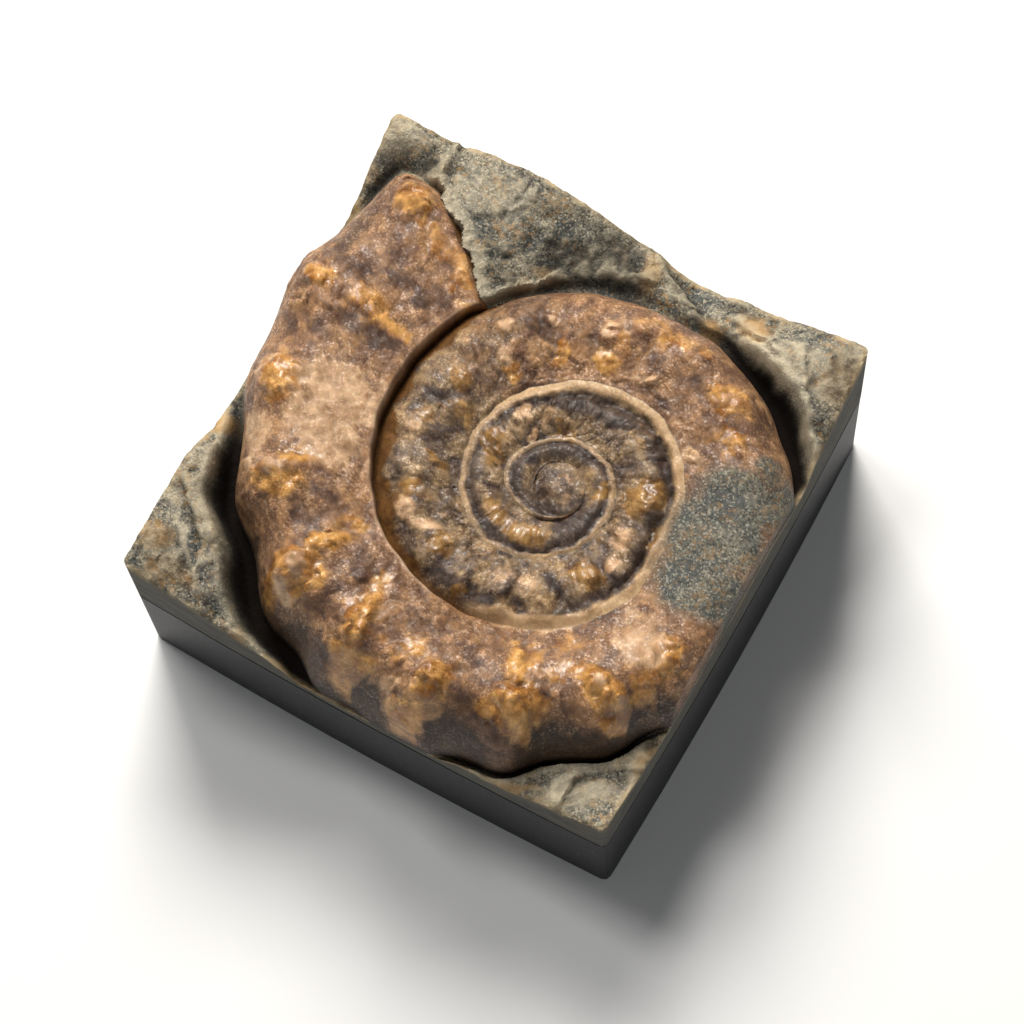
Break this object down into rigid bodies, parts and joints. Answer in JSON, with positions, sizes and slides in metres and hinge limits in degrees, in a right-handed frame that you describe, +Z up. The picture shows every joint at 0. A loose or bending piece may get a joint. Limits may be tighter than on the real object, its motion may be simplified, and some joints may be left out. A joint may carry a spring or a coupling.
{
  "type": "fossil ammonite keycap",
  "caption": "Ribbed fossil ammonite in its own grey rock, sawn to a square block on a dark hollow base with a cross socket.",
  "frame": {"origin": "middle of the block's square footprint, on the plane its rim rests on", "axes": "+Z up out of the fossil; X and Y along the block's sides, the shell's mouth at the -X +Y corner"},
  "size_m": [0.0184, 0.0184, 0.0108],
  "materials": {
    "fossil_rock": "glossy brown and cream calcite shell in dull speckled grey rock",
    "dark_base": "sanded dark blue-grey, fine upright strokes"
  },
  "bodies": {
    "root": {"ammonite_in_rock": "fossil_rock", "base": "dark_base"}
  },
  "joints": []
}
